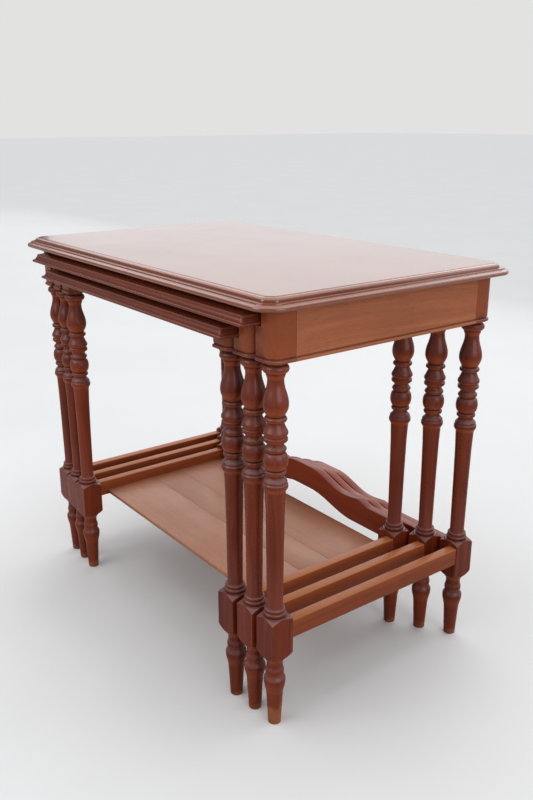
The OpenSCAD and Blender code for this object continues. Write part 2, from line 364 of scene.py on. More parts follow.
def moulded(plan: list[Point], ways: list[Vector], steps: list[Point]) -> BMesh:
    """Builds a solid ring by ring, each ring being the plan grown by some distance.

    Args:
        plan: Corners in order, anticlockwise.
        ways: How each corner moves when the ring grows by one.
        steps: (growth, height) of each ring in order.

    Returns:
        A closed shell, capped at its first and its last ring.
    """
    shell = bmesh.new()
    corner = shell.verts.layers.int.new("corner")

    def set_corner(vert: BMVert, step: Point) -> None:
        """Puts one corner of a ring in its place.

        Args:
            vert: The corner.
            step: (growth, height) of its ring.
        """
        k = vert[corner]
        spot = Vector(plan[k]) + ways[k] * step[0]
        vert.co = (spot.x, spot.y, step[1])

    first = [shell.verts.new() for _ in plan]
    for k, vert in enumerate(first):
        vert[corner] = k
        set_corner(vert, steps[0])
    rim = list(shell.faces.new(first).edges)
    for step in steps[1:]:
        grown = bmesh.ops.extrude_edge_only(shell, edges=rim)["geom"]
        rim = [item for item in grown if isinstance(item, BMEdge)]
        for vert in (item for item in grown if isinstance(item, BMVert)):
            set_corner(vert, step)
    bmesh.ops.contextual_create(shell, geom=rim)
    return close_up(shell)


def bring_in(name: str, data: ID, place: Matrix | None = None) -> Object:
    """Puts a mesh, a light or a camera into the scene.

    Args:
        name: The object's name.
        data: What it shows.
        place: Where it stands, or None for the origin.

    Returns:
        The object.
    """
    thing = bpy.data.objects.new(name, data)
    if place is not None:
        thing.matrix_world = place
    bpy.context.scene.collection.objects.link(thing)
    return thing


@dataclass
class Piece:
    """One separate piece of wood, gathered from closed shells."""

    name: str
    rank: Rank
    slot: str
    shells: list[BMesh] = field(default_factory=list)

    def add(self, shell: BMesh, place: Matrix | None = None) -> "Piece":
        """Adds a shell to the piece.

        Args:
            shell: A closed shell.
            place: Where it goes. After a mirrored place its faces are turned back out.

        Returns:
            The piece itself.
        """
        if place is not None:
            bmesh.ops.transform(shell, matrix=place, verts=shell.verts[:])
            bmesh.ops.recalc_face_normals(shell, faces=shell.faces[:])
        self.shells.append(shell)
        return self

    def make(self, material: Material, crease: float = 32.0) -> Object:
        """Turns the shells into one object, which stands for the node of its name.

        Args:
            material: The finish of this piece.
            crease: Angle in degrees over which an edge is shaded sharp.

        Returns:
            The finished object.
        """
        whole = bmesh.new()
        for shell in self.shells:
            part = bpy.data.meshes.new("shell")
            shell.to_mesh(part)
            shell.free()
            whole.from_mesh(part)
            bpy.data.meshes.remove(part)
        mesh = bpy.data.meshes.new(self.name)
        whole.to_mesh(mesh)
        whole.free()
        mesh.shade_smooth()
        mesh.set_sharp_from_angle(angle=math.radians(crease))
        mesh.materials.append(material)
        thing = bring_in(f"wood_{self.name}", mesh)
        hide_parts(self.name)
        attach(thing, self.rank.body)
        LOG.info("%s: %d faces on %s", thing.name, len(mesh.polygons), self.rank.body)
        return thing


# ----- Finishes -----


def put(tree: NodeTree, kind: str, inputs: dict[str | int, Any] | None = None,
        **settings: Any) -> Node:
    """Adds a shader node.

    Args:
        tree: The tree it goes in.
        kind: Its type.
        inputs: Socket name or number, to a value or to the socket that feeds it.
        **settings: The node's own properties.

    Returns:
        The node.
    """
    node = tree.nodes.new(kind)
    for key, value in settings.items():
        setattr(node, key, value)
    for key, value in (inputs or {}).items():
        if isinstance(value, NodeSocket):
            tree.links.new(value, node.inputs[key])
        else:
            node.inputs[key].default_value = value
    return node


def cleared(owner: Material | World) -> NodeTree:
    """Empties a material's or a world's node tree.

    Args:
        owner: The material or the world.

    Returns:
        The empty tree.
    """
    owner.use_nodes = True
    owner.node_tree.nodes.clear()
    return owner.node_tree


def reckon(tree: NodeTree, operation: str, a: Any, b: Any,
           clamp: bool = False) -> NodeSocket:
    """Adds a Math node and returns its result."""
    return put(tree, "ShaderNodeMath", {0: a, 1: b}, operation=operation,
               use_clamp=clamp).outputs[0]


def vector_reckon(tree: NodeTree, operation: str, a: Any, b: Any) -> NodeSocket:
    """Adds a Vector Math node and returns its result."""
    return put(tree, "ShaderNodeVectorMath", {0: a, 1: b}, operation=operation).outputs[0]


def ramp(tree: NodeTree, value: Any, low: float, high: float,
         to_low: float = 0.0, to_high: float = 1.0) -> NodeSocket:
    """Adds a clamped Map Range node and returns its result."""
    return put(tree, "ShaderNodeMapRange",
               {"Value": value, "From Min": low, "From Max": high,
                "To Min": to_low, "To Max": to_high}).outputs["Result"]


def mix(tree: NodeTree, share: Any, a: Any, b: Any) -> NodeSocket:
    """Adds a Mix Color node and returns its result."""
    node = put(tree, "ShaderNodeMix", {0: share, 6: a, 7: b}, data_type="RGBA")
    return node.outputs[2]


def noise(tree: NodeTree, vector: Any, scale: float, detail: float,
          rough: float = 0.5, stretch: tuple[float, float, float] | None = None,
          output: str = "Fac") -> NodeSocket:
    """Adds a noise texture.

    Args:
        tree: The tree it goes in.
        vector: Where the noise is read.
        scale: Repeats in a metre.
        detail: Octaves of finer noise.
        rough: Strength of the finer noise.
        stretch: Repeats in a metre along each axis, in place of scale.
        output: The output wanted.

    Returns:
        The noise.
    """
    if stretch is not None:
        vector = vector_reckon(tree, "MULTIPLY", vector, stretch)
        scale = 1.0
    return put(tree, "ShaderNodeTexNoise",
               {"Vector": vector, "Scale": scale, "Detail": detail,
                "Roughness": rough}).outputs[output]


def group(name: str, inputs: dict[str, str], outputs: dict[str, str]) -> tuple[Any, Any, Any]:
    """Starts a shader node group.

    Args:
        name: The group's name.
        inputs: Input name to socket type.
        outputs: Output name to socket type.

    Returns:
        The tree, the sockets that come in and the sockets that go out.
    """
    tree = bpy.data.node_groups.new(name, "ShaderNodeTree")
    for label, kind in inputs.items():
        tree.interface.new_socket(name=label, in_out="INPUT", socket_type=kind)
    for label, kind in outputs.items():
        tree.interface.new_socket(name=label, in_out="OUTPUT", socket_type=kind)
    return (tree, tree.nodes.new("NodeGroupInput").outputs,
            tree.nodes.new("NodeGroupOutput").inputs)


COLOUR = "NodeSocketColor"
NUMBER = "NodeSocketFloat"
VECTOR = "NodeSocketVector"


class WoodGroups:
    """The node groups that every finish shares, each built once.

    The grain's repeats in a metre are given along it and across it.
    """

    SWAY_REPEATS = 3.5
    SWAY = (0.0, 0.035, 0.035)
    STREAKS = (2.6, 130.0, 130.0)
    BANDS = (1.3, 18.0, 18.0)
    FIBRES = (60.0, 1400.0, 1400.0)
    WORN_PATCHES = 34.0
    CLOUDS = 8.0
    RUBBING = 160.0

    def __init__(self) -> None:
        """Builds the groups."""
        self.grain = self._grain()
        self.wear_and_light = self._wear()
        self.polish = self._polish()

    @staticmethod
    def _grain() -> NodeTree:
        """Builds mahogany grain: wandering streaks over broad bands, with short dark pores.

        Returns:
            The group, which puts out the colour and the mask of the pores.
        """
        tree, given, out = group(
            "mahogany_grain",
            {"Vector": VECTOR, "Light": COLOUR, "Dark": COLOUR, "Pore": COLOUR,
             "Streak": NUMBER, "Pores": NUMBER},
            {"Color": COLOUR, "Pore Mask": NUMBER})
        sway = noise(tree, given["Vector"], WoodGroups.SWAY_REPEATS, 1.0, output="Color")
        sway = vector_reckon(tree, "SUBTRACT", sway, (0.5, 0.5, 0.5))
        sway = vector_reckon(tree, "MULTIPLY", sway, WoodGroups.SWAY)
        wandering = vector_reckon(tree, "ADD", given["Vector"], sway)
        streaks = noise(tree, wandering, 1.0, 5.0, 0.6, WoodGroups.STREAKS)
        bands = noise(tree, wandering, 1.0, 3.0, 0.5, WoodGroups.BANDS)
        fibres = noise(tree, wandering, 1.0, 2.0, 0.6, WoodGroups.FIBRES)
        both = reckon(tree, "ADD", reckon(tree, "MULTIPLY", streaks, 0.55),
                      reckon(tree, "MULTIPLY", bands, 0.45))
        mask = ramp(tree, both, 0.38, 0.64)
        plain = mix(tree, reckon(tree, "MULTIPLY", mask, given["Streak"]),
                    given["Light"], given["Dark"])
        pores = ramp(tree, fibres, 0.58, 0.70)
        tree.links.new(mix(tree, reckon(tree, "MULTIPLY", pores, given["Pores"]),
                           plain, given["Pore"]), out["Color"])
        tree.links.new(pores, out["Pore Mask"])
        return tree

    @staticmethod
    def _wear() -> NodeTree:
        """Builds the masks of rubbed arrises (wear, partly a painted glint), of painted shade in
        hollows, of painted sky light on upward faces and of a painted glow on undersides.

        Returns:
            The group, which puts out the four masks.
        """
        tree, given, out = group(
            "rubbed_arrises",
            {"Vector": VECTOR, "Arris": NUMBER, "Reach": NUMBER},
            {"Edge": NUMBER, "Hollow": NUMBER, "Upper": NUMBER, "Under": NUMBER})
        within = put(tree, "ShaderNodeAmbientOcclusion", {"Distance": given["Arris"]},
                     samples=6, inside=True, only_local=True).outputs["AO"]
        around = put(tree, "ShaderNodeAmbientOcclusion", {"Distance": given["Reach"]},
                     samples=6, only_local=True).outputs["AO"]
        patches = noise(tree, given["Vector"], WoodGroups.WORN_PATCHES, 4.0, 0.6)
        # Rubbed arrises: wear, and on the turnings and stretchers also a painted glint.
        arris = ramp(tree, within, 0.78, 0.35)
        patchy = ramp(tree, patches, 0.36, 0.62)
        tree.links.new(reckon(tree, "MULTIPLY", arris, patchy), out["Edge"])
        # Painted shade: the mask of hollows and creases, where shade falls.
        tree.links.new(ramp(tree, around, 0.92, 0.42), out["Hollow"])
        # Painted light: upward faces take a painted sky sheen, downward faces a painted warm glow.
        facing = put(tree, "ShaderNodeNewGeometry").outputs["Normal"]
        rise = put(tree, "ShaderNodeSeparateXYZ", {"Vector": facing}).outputs["Z"]
        tree.links.new(ramp(tree, rise, 0.02, 0.7), out["Upper"])
        tree.links.new(ramp(tree, rise, 0.0, -0.45), out["Under"])
        return tree

    @staticmethod
    def _polish() -> NodeTree:
        """Builds the roughness of old polish, cloudy and finely rubbed.

        Returns:
            The group, which puts out the roughness and the mask of the clouds.
        """
        tree, given, out = group(
            "old_polish", {"Vector": VECTOR, "Low": NUMBER, "High": NUMBER},
            {"Roughness": NUMBER, "Cloud": NUMBER})
        cloud = noise(tree, given["Vector"], WoodGroups.CLOUDS, 5.0, 0.6)
        fine = noise(tree, given["Vector"], WoodGroups.RUBBING, 3.0)
        both = reckon(tree, "ADD", reckon(tree, "MULTIPLY", cloud, 0.7),
                      reckon(tree, "MULTIPLY", fine, 0.3))
        share = ramp(tree, both, 0.38, 0.62)
        span = reckon(tree, "SUBTRACT", given["High"], given["Low"])
        rough = reckon(tree, "ADD", given["Low"], reckon(tree, "MULTIPLY", share, span))
        tree.links.new(rough, out["Roughness"])
        tree.links.new(ramp(tree, cloud, 0.35, 0.65), out["Cloud"])
        return tree


@dataclass(frozen=True)
class HeightTone:
    """A second tone that takes over between two heights, with a ragged border."""

    colour: Colour
    start: float
    full: float
    share: float
    rough: float = 0.0


@dataclass(frozen=True)
class WoodFinish:
    """One mahogany finish. Colours are linear."""

    name: str
    light: Colour
    dark: Colour
    pore: Colour
    # Painted shade colour for hollows and creases; the polish clouds also darken towards it.
    hollow: Colour
    # Colour of rubbed arrises: worn wood, and on the legs and stretchers also a painted glint.
    rubbed: Colour
    streak: float
    pores: float
    edge_wear: float
    hollow_depth: float
    low_rough: float
    high_rough: float
    coat: float
    coat_rough: float
    relief: float
    cloud: float = 0.15
    specular: float = 0.3
    ior: float = 1.5
    coat_ior: float = 1.55
    pore_depth: float = 0.1 * MM
    # Painted light: a sky sheen on upward faces and a warm glow on downward faces.
    painted_top_light: Colour = (0.24, 0.15, 0.15)
    painted_top_light_share: float = 0.0
    painted_under_glow: Colour = (0.50, 0.100, 0.026)
    painted_under_glow_share: float = 0.0
    arris: float = 2.0 * MM
    reach: float = 8.0 * MM
    tones: tuple[HeightTone, ...] = ()

    def material(self, groups: WoodGroups, grain: Grain, piece: str) -> Material:
        """Makes the finish for one piece, cut from its own stretch of the log.

        Args:
            groups: The shared node groups.
            grain: The axis that the grain runs along.
            piece: The piece's name, which also seeds its stretch of the log.

        Returns:
            The material.
        """
        dice = random.Random(piece)
        shift = tuple(dice.uniform(-3.0, 3.0) for _ in range(3))
        gain = dice.uniform(0.95, 1.05)
        made = bpy.data.materials.new(f"{self.name}_{piece}")
        tree = cleared(made)
        place = put(tree, "ShaderNodeTexCoord").outputs["Object"]
        along = put(tree, "ShaderNodeMapping", {"Vector": place, "Rotation": grain.value,
                                                "Location": shift}).outputs[0]
        wood = put(tree, "ShaderNodeGroup",
                   {"Vector": along, "Light": paint(self.light, gain),
                    "Dark": paint(self.dark, gain), "Pore": paint(self.pore),
                    "Streak": self.streak, "Pores": self.pores}, node_tree=groups.grain)
        wear_and_light = put(tree, "ShaderNodeGroup",
                   {"Vector": place, "Arris": self.arris, "Reach": self.reach},
                   node_tree=groups.wear_and_light)
        polish = put(tree, "ShaderNodeGroup",
                     {"Vector": along, "Low": self.low_rough, "High": self.high_rough},
                     node_tree=groups.polish)
        colour = wood.outputs["Color"]
        rough = polish.outputs["Roughness"]
        for tone in self.tones:
            share = self._ragged(tree, place, tone)
            colour = mix(tree, share, colour, paint(tone.colour, gain))
            rough = reckon(tree, "ADD", rough, reckon(tree, "MULTIPLY", share, tone.rough))
        cloud = reckon(tree, "MULTIPLY", polish.outputs["Cloud"], self.cloud)
        colour = mix(tree, cloud, colour, paint(self.hollow))
        # Painted light: upward faces take a sky sheen, downward faces a warm glow.
        for mask, share, tint in (("Upper", self.painted_top_light_share, self.painted_top_light),
                                  ("Under", self.painted_under_glow_share, self.painted_under_glow)):
            faced = reckon(tree, "MULTIPLY", wear_and_light.outputs[mask], share)
            colour = mix(tree, faced, colour, paint(tint))
        # Painted shade darkens the hollows and creases.
        deep = reckon(tree, "MULTIPLY", wear_and_light.outputs["Hollow"], self.hollow_depth)
        colour = mix(tree, deep, colour, paint(self.hollow))
        # Arrises lighten, as wear and as a painted glint.
        thin = reckon(tree, "MULTIPLY", wear_and_light.outputs["Edge"], self.edge_wear)
        colour = mix(tree, thin, colour, paint(self.rubbed))
        height = reckon(tree, "SUBTRACT", 1.0, wood.outputs["Pore Mask"])
        normal = put(tree, "ShaderNodeBump", {"Height": height, "Strength": self.relief,
                                              "Distance": self.pore_depth}).outputs["Normal"]
        shader = put(tree, "ShaderNodeBsdfPrincipled",
                     {"Base Color": colour, "Roughness": rough, "Normal": normal, "IOR": self.ior,
                      "Specular IOR Level": self.specular,
                      "Coat Weight": self.coat, "Coat Roughness": self.coat_rough,
                      "Coat IOR": self.coat_ior})
        put(tree, "ShaderNodeOutputMaterial", {"Surface": shader.outputs[0]})
        return made

    @staticmethod
    def _ragged(tree: NodeTree, place: Any, tone: HeightTone) -> NodeSocket:
        """Adds the mask of a tone that takes over with height.

        Args:
            tree: The tree it goes in.
            place: The piece's own coordinates.
            tone: The tone.

        Returns:
            The mask.
        """
        height = put(tree, "ShaderNodeSeparateXYZ", {"Vector": place}).outputs["Z"]
        spread = abs(tone.full - tone.start)
        patch = ramp(tree, noise(tree, place, 45.0, 4.0), 0.3, 0.7, -spread, spread)
        return ramp(tree, reckon(tree, "ADD", height, patch), tone.start, tone.full,
                    0.0, tone.share)


def paint(colour: Colour, gain: float = 1.0) -> tuple[float, float, float, float]:
    """Turns a colour into a socket's value, made lighter or darker."""
    red, green, blue = (min(channel * gain, 1.0) for channel in colour)
    return (red, green, blue, 1.0)


# In every finish the hollow colour is painted shade, laid into hollows and creases.
FRAME_WOOD = WoodFinish(
    name="frame_mahogany", light=(0.58, 0.195, 0.084), dark=(0.38, 0.108, 0.045),
    pore=(0.14, 0.036, 0.016), hollow=(0.13, 0.030, 0.013), rubbed=(0.66, 0.34, 0.20),
    streak=0.75, pores=0.4, edge_wear=0.5, hollow_depth=0.7,
    low_rough=0.32, high_rough=0.46, coat=0.1, coat_rough=0.2, relief=0.35, specular=0.2)

# The stretcher's upper face takes a painted sky light, and its arrises a rubbed edge that is
# partly a painted highlight.
STRETCHER_WOOD = replace(
    FRAME_WOOD, name="stretcher_mahogany", light=(0.36, 0.078, 0.022), dark=(0.22, 0.042, 0.012),
    rubbed=(0.70, 0.28, 0.11), edge_wear=0.85, arris=3.0 * MM,
    painted_top_light=(0.62, 0.22, 0.07), painted_top_light_share=0.5)

POST_TONE = HeightTone((0.38, 0.092, 0.028), 505 * MM, 530 * MM, 0.85)

# Upward faces take a painted purple-grey sky sheen, downward faces a painted orange glow, and ring
# crowns a painted glint over their wear.
TURNED_WOOD = WoodFinish(
    name="turned_mahogany", light=(0.270, 0.043, 0.012), dark=(0.105, 0.013, 0.005),
    pore=(0.06, 0.010, 0.005), hollow=(0.045, 0.006, 0.003), rubbed=(0.40, 0.17, 0.13),
    streak=0.9, pores=0.12, edge_wear=0.4, hollow_depth=0.6, painted_top_light_share=0.5, painted_under_glow_share=0.55,
    low_rough=0.24, high_rough=0.36, coat=0.22, coat_rough=0.2, relief=0.15, specular=0.16,
    tones=(POST_TONE, HeightTone((0.42, 0.18, 0.09), 10 * MM, 2 * MM, 0.5, 0.2)))

WORN_FOOT_WOOD = replace(
    TURNED_WOOD, tones=(POST_TONE, HeightTone((0.46, 0.17, 0.06), 34 * MM, 10 * MM, 0.7, 0.25)))

RAIL_WOOD = WoodFinish(
    name="rail_mahogany", light=(0.36, 0.062, 0.022), dark=(0.22, 0.034, 0.012),
    pore=(0.08, 0.014, 0.007), hollow=(0.05, 0.009, 0.005), rubbed=(0.46, 0.20, 0.12),
    streak=0.7, pores=0.25, edge_wear=0.5, hollow_depth=0.5,
    low_rough=0.28, high_rough=0.42, coat=0.15, coat_rough=0.18, relief=0.25, specular=0.2)

TOP_WOOD = WoodFinish(
    name="top_mahogany", light=(0.33, 0.100, 0.050), dark=(0.23, 0.062, 0.030),
    pore=(0.16, 0.045, 0.025), hollow=(0.08, 0.018, 0.009), rubbed=(0.62, 0.34, 0.22),
    streak=0.7, pores=0.3, edge_wear=0.5, hollow_depth=0.8,
    low_rough=0.16, high_rough=0.24, coat=0.9, coat_rough=0.12, relief=0.1, specular=0.5)

# The inner tops: a darker copy of the top's finish, painted shade for the large top above them.
SHADED_INNER_TOP_WOOD = WoodFinish(
    name="inner_top_mahogany", light=(0.24, 0.050, 0.021), dark=(0.13, 0.024, 0.011),
    pore=(0.06, 0.013, 0.007), hollow=(0.03, 0.006, 0.004), rubbed=(0.50, 0.24, 0.16),
    streak=0.7, pores=0.03, edge_wear=0.4, hollow_depth=0.4,
    low_rough=0.24, high_rough=0.36, coat=0.3, coat_rough=0.16, relief=0.04, specular=0.35)

# The shelf's base colour is partly painted light: lightened for the skylight that falls on the
# shelf.
SHELF_WOOD = WoodFinish(
    name="shelf_mahogany", light=(0.48, 0.210, 0.118), dark=(0.36, 0.142, 0.076),
    pore=(0.22, 0.080, 0.045), hollow=(0.14, 0.042, 0.022), rubbed=(0.58, 0.32, 0.20),
    streak=0.4, pores=0.4, edge_wear=0.3, hollow_depth=0.4,
    low_rough=0.36, high_rough=0.5, coat=0.08, coat_rough=0.25, relief=0.25, specular=0.3)


# ----- Sub-assemblies -----


@dataclass
class Bay:
    """Where one table's joints lie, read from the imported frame."""

    rank: Rank
    block: float = BLOCK * MM

    def node(self, part: str) -> str:
        """Full name of one of this table's nodes."""
        return f"{self.rank.value}_{part}"

    def box(self, part: str) -> tuple[Vector, Vector]:
        """Lowest and highest corner of one of this table's nodes."""
        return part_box(self.node(part))

    @property
    def inner_x(self) -> float:
        """Distance from the middle to the inner faces of the posts."""
        return self.box("leg_fr")[0].x

    @property
    def outer_x(self) -> float:
        """Distance from the middle to the outer faces of the posts."""
        return self.inner_x + self.block

    @property
    def front_y(self) -> float:
        """Back faces of the front posts."""
        return self.box("leg_fr")[1].y

    @property
    def back_y(self) -> float:
        """Front faces of the back posts."""
        return self.box("leg_br")[0].y

    @property
    def post_top(self) -> float:
        """Height of the top of the posts."""
        return self.box("top")[0].z

    def leg_axis(self, side: Side, row: Row) -> Vector:
        """Foot of a leg's axis.

        Args:
            side: The end of the table.
            row: The long side of the table.

        Returns:
            The point on the floor.
        """
        x = side.value * (self.inner_x + self.block / 2)
        y = self.front_y - self.block / 2 if row is Row.FRONT else self.back_y + self.block / 2
        return Vector((x, y, 0.0))


@dataclass(frozen=True)
class BeadAndQuirk:
    """The bead and quirk along the foot of the aprons and posts. Sizes in millimetres."""

    ledge: float = 0.2
    bead_height: float = 4.7
    bead_out: float = 1.8
    quirk_height: float = 2.4
    quirk_depth: float = 1.2

    def outline(self, face: float, foot: float) -> list[Point]:
        """Draws the bead and the quirk under a face.

        Args:
            face: Where the face stands.
            foot: Height of the face's lower edge.

        Returns:
            The points as (across, up), from the lower edge to the foot of the plain face.
        """
        quirk = foot + self.bead_height
        plain = quirk + self.quirk_height
        return [(face + self.ledge, foot),
                *bead(foot + self.ledge, quirk, face + self.ledge, self.bead_out - self.ledge, 10),
                (face - self.quirk_depth, quirk + 0.4), (face - self.quirk_depth, plain - 0.5),
                (face, plain)]


@dataclass
class MouldedTop:
    """A table top with its moulded edge. Sizes in millimetres."""

    bay: Bay
    thickness: float = 16.0
    moulding: float = 19.3
    corner_cut: float = 20.0
    nose: float = 3.3
    ovolo: float = 5.6
    cove: float = 2.8
    quirk: float = 1.0
    inner_nose: float = 2.2
    fillet: Point = (12.5, 12.6)
    lip: float = 1.6
    arris: float = 0.4
    set_in: float = 0.8
    flat: float = 0.3
    fall: float = 0.1
    soft_cut: float = 9.0
    soft_square: float = 4.0

    def large_edge(self) -> list[Point]:
        """Draws the edge of the large top: quirk, ovolo, fillet, cove and round nose.

        Returns:
            The points as (out, up), from the flat to the underside.
        """
        step = self.thickness - self.quirk - self.ovolo
        cove_x = self.moulding - self.nose
        return [(-self.arris, self.thickness), (0.0, self.thickness - self.arris),
                *arc((self.set_in, step), self.ovolo, 90, 0, 14),
                (self.set_in + self.ovolo + self.flat, step - self.fall),
                (cove_x - self.cove, step - self.fall),
                *arc((cove_x, 2 * self.nose + self.cove - self.fall), self.cove, 180, 270),
                *arc((cove_x, self.nose), self.nose, 90, -90, 16)]

    def inner_edge(self) -> list[Point]:
        """Draws the edge of an inner top: a low bevel, a fillet, a deep hollow and a small nose.

        Returns:
            The points as (out, up), from the flat to the underside.
        """
        across, up = self.fillet
        nose_x = self.moulding - self.inner_nose
        return [(0.0, self.thickness), (across - self.flat, up + self.fall),
                (across, up - 0.2), (across, up - self.lip),
                *ease((across, up - self.lip), (nose_x - 1.5, 2 * self.inner_nose)),
                *arc((nose_x, self.inner_nose), self.inner_nose, 90, -90)]

    def build(self) -> Piece:
        """Builds the top from its plan and its edge.

        Returns:
            The piece.
        """
        low, high = self.bay.box("top")
        large = self.bay.rank is Rank.LARGE
        plan = [(low.x, low.y), (high.x, low.y), (high.x, high.y), (low.x, high.y)]
        if large:
            plan = rounded_plan(plan, lambda corner: self.corner_cut * MM, 1)
        edge = self.large_edge() if large else self.inner_edge()
        steps = [((across - self.moulding) * MM, low.z + up * MM) for across, up in edge]
        piece = Piece(self.bay.node("top"), self.bay.rank, "top_mahogany")
        soft = (self.soft_cut if large else self.soft_square) * MM
        return piece.add(moulded(*self.softened(plan, soft, -steps[0][0]), steps))

    @staticmethod
    def softened(plan: list[Point], soft: float,
                 reach: float) -> tuple[list[Point], list[Vector]]:
        """Rounds the corners of the nose, and lets the rounding die out at the flat.

        Args:
            plan: Corners of the nose in order, anticlockwise.
            soft: Length of the rounding along each side.
            reach: Distance from the nose in to the flat, where the corners are crisp.

        Returns:
            The rounded plan, and how each of its corners moves when a ring grows by one.
        """
        crisp = [(Vector(corner), Vector(corner) - way * reach)
                 for corner, way in zip(plan, mitres(plan))]
        rounded_nose = rounded_plan(plan, lambda corner: soft, 6)
        ways = []
        for spot in rounded_nose:
            nearest = min(crisp, key=lambda pair, s=spot: (pair[0] - Vector(s)).length)
            ways.append((Vector(spot) - nearest[1]) / reach)
        return rounded_nose, ways

    def dress(self, piece: Piece, groups: WoodGroups) -> Object:
        """Gives the top its polish; the inner tops' finish is darker, as painted shade."""
        finish = TOP_WOOD if self.bay.rank is Rank.LARGE else SHADED_INNER_TOP_WOOD
        return piece.make(finish.material(groups, Grain.ALONG_X, piece.name), 24.0)


@dataclass
class TurnedLeg:
    """A leg: turned foot, square block, turned shaft and post. Sizes in millimetres."""

    bay: Bay
    side: Side
    row: Row
    block: float = BLOCK
    block_low: float = 103.0
    block_high: float = 170.0
    pommel_low: float = 13.0
    pommel_high: float = 7.0
    pommel_neck: float = 13.6
    pommel_crown: float = 17.4
    post_low: float = 517.0
    post_radius: float = 14.0
    play: float = 1.5
    soften: float = 0.9

    def foot(self) -> list[Point]:
        """Draws the turned foot, bulb and band under the block.

        Returns:
            The points as (radius, height), from the floor up.
        """
        return [(0, 0), (8.4, 0), (8.9, 0.6), (11.2, 44),
                *ease((11.4, 46), (15, 69)), *ease((15, 70.5), (11.8, 79.6)), (11.3, 80.4),
                (12.2, 81), (12.6, 81.8), (12.7, 84), *ease((12.6, 85), (11, 92.6)), (11, 99),
                (12.2, 101.6), (13.4, self.block_low), (13.4, self.block_low + 2),
                (0, self.block_low + 2)]

    def shaft(self) -> list[Point]:
        """Draws the turnings between the block and the post.

        Returns:
            The points as (radius, height), from the block up.
        """
        return [(0, self.block_high - 2), (13.0, self.block_high - 2),
                *bead(self.block_high, 176, 12.7, 2.5), *bead(176, 181.5, 11.8, 2.2),
                (10.7, 184.5), (11.5, 270), (12.3, 322),
                *ease((13.3, 347), (16.5, 355)), (16.2, 358.2), (14.4, 360.4),
                *ease((15.3, 361.4), (10.7, 368.3)),
                *bead(370.3, 377.3, 10.7, 3.1), *bead(377.8, 400.8, 11.0, 5.0, 18),
                *ease((12, 401.4), (14, 404.6), 5), *ease((14, 405.2), (10.7, 411)),
                *ease((10.9, 411.4), (15.5, 417)), (15.3, 419.8), (13.6, 421.3),
                *ease((14, 421.8), (15.9, 425.5), 5), (15.6, 428.4), (14.5, 430.1),
                (13, 433.4), (10.8, 438.6), *bead(440.4, 447.6, 10.8, 3.6),
                *settle((11.4, 448.3), (16.4, 462.5), 16), *ease((16.4, 463.5), (10.4, 493.5), 24),
                *ease((10.4, 494.5), (12.4, 502)), *bead(503, 513.5, 12.2, 4.4, 16),
                (12.6, 514.5), (13.6, self.post_low + 2), (0, self.post_low + 2)]

    def pommels(self) -> list[Point]:
        """Draws the turning that rounds the ends of the square block.

        Returns:
            The points as (radius, height), from the block's foot up.
        """
        low, high = self.block_low, self.block_high
        corner = self.block / 2 * math.sqrt(2) + 0.2
        return [(0, low),
                *ease((self.pommel_neck, low), (corner, low + self.pommel_low), 16),
                *ease((corner, high - self.pommel_high), (self.pommel_crown, high)),
                (0, high)]

    def square_block(self) -> BMesh:
        """Turns and planes the block.

        Returns:
            A closed shell with softened arrises.
        """
        shell = planed(turned(metres(self.pommels()), 96), self.block / 2 * MM)
        upright = [edge for edge in sharp_edges(shell, 60) if follows(edge, 2) > ALONG]
        return rounded(shell, upright, self.soften * MM)

    def post(self, notch: float) -> BMesh:
        """Builds the post over the turnings, on its bead and quirk.

        Args:
            notch: Height over which the inner face is cut back for the next top, or the
                post's own top where there is no notch.

        Returns:
            A closed shell.
        """
        half, radius = self.block / 2, self.post_radius
        corners = [(-half, -half), (half, -half), (half, half), (-half, half)]
        plan = rounded_plan(corners, lambda corner: radius if corner == corners[1]
                            else self.soften, 12)
        ways = [Vector((max(x - half + radius, 0), min(y + half - radius, 0))) / radius
                for x, y in plan]
        steps = [*BeadAndQuirk().outline(0.0, self.post_low), (0.0, notch / MM)]
        shell = moulded(plan, ways, steps)
        bmesh.ops.scale(shell, vec=(MM, MM, MM), verts=shell.verts[:])
        self.notch(shell, notch)
        return shell

    def notch(self, shell: BMesh, low: float) -> None:
        """Carries the post up past the notch for the next top.

        Args:
            shell: The post up to the notch.
            low: Height of the notch's foot.
        """
        high = self.bay.post_top
        if high - low < MM:
            return
        inner_top = Bay(self.bay.rank.inner).box("top")
        cut = inner_top[1].x + self.play * MM - self.bay.inner_x - self.block / 2 * MM
        crown = max(shell.faces, key=lambda face: face.calc_center_median().z)
        halves = bmesh.ops.bisect_plane(
            shell, geom=[crown, *crown.edges, *crown.verts], dist=ON_CUT,
            plane_co=(cut, 0, 0), plane_no=(1, 0, 0))["geom"]
        outer = [item for item in halves if isinstance(item, BMFace)
                 and item.calc_center_median().x > cut]
        grown = bmesh.ops.extrude_face_region(shell, geom=outer)["geom"]
        moved = [item for item in grown if isinstance(item, BMVert)]
        bmesh.ops.translate(shell, verts=moved, vec=(0, 0, high - low))
        bmesh.ops.delete(shell, geom=outer, context="FACES_KEEP_BOUNDARY")
        bmesh.ops.recalc_face_normals(shell, faces=shell.faces[:])

    def build(self) -> Piece:
        """Builds the leg and stands it in its corner.

        Returns:
            The piece.
        """
        corner = self.row.name[0].lower() + self.side.name[0].lower()
        piece = Piece(self.bay.node(f"leg_{corner}"), self.bay.rank, "turned_mahogany")
        stand = (Matrix.Translation(self.bay.leg_axis(self.side, self.row))
                 @ Matrix.Diagonal((self.side.value, -self.row.value, 1, 1)))
        notch = self.bay.post_top
        if self.bay.rank.inner is not None:
            notch = Bay(self.bay.rank.inner).post_top - self.play * MM
        for shell in (turned(metres(self.foot())), self.square_block(),
                      turned(metres(self.shaft())), self.post(notch)):
            piece.add(shell, stand)
        return piece

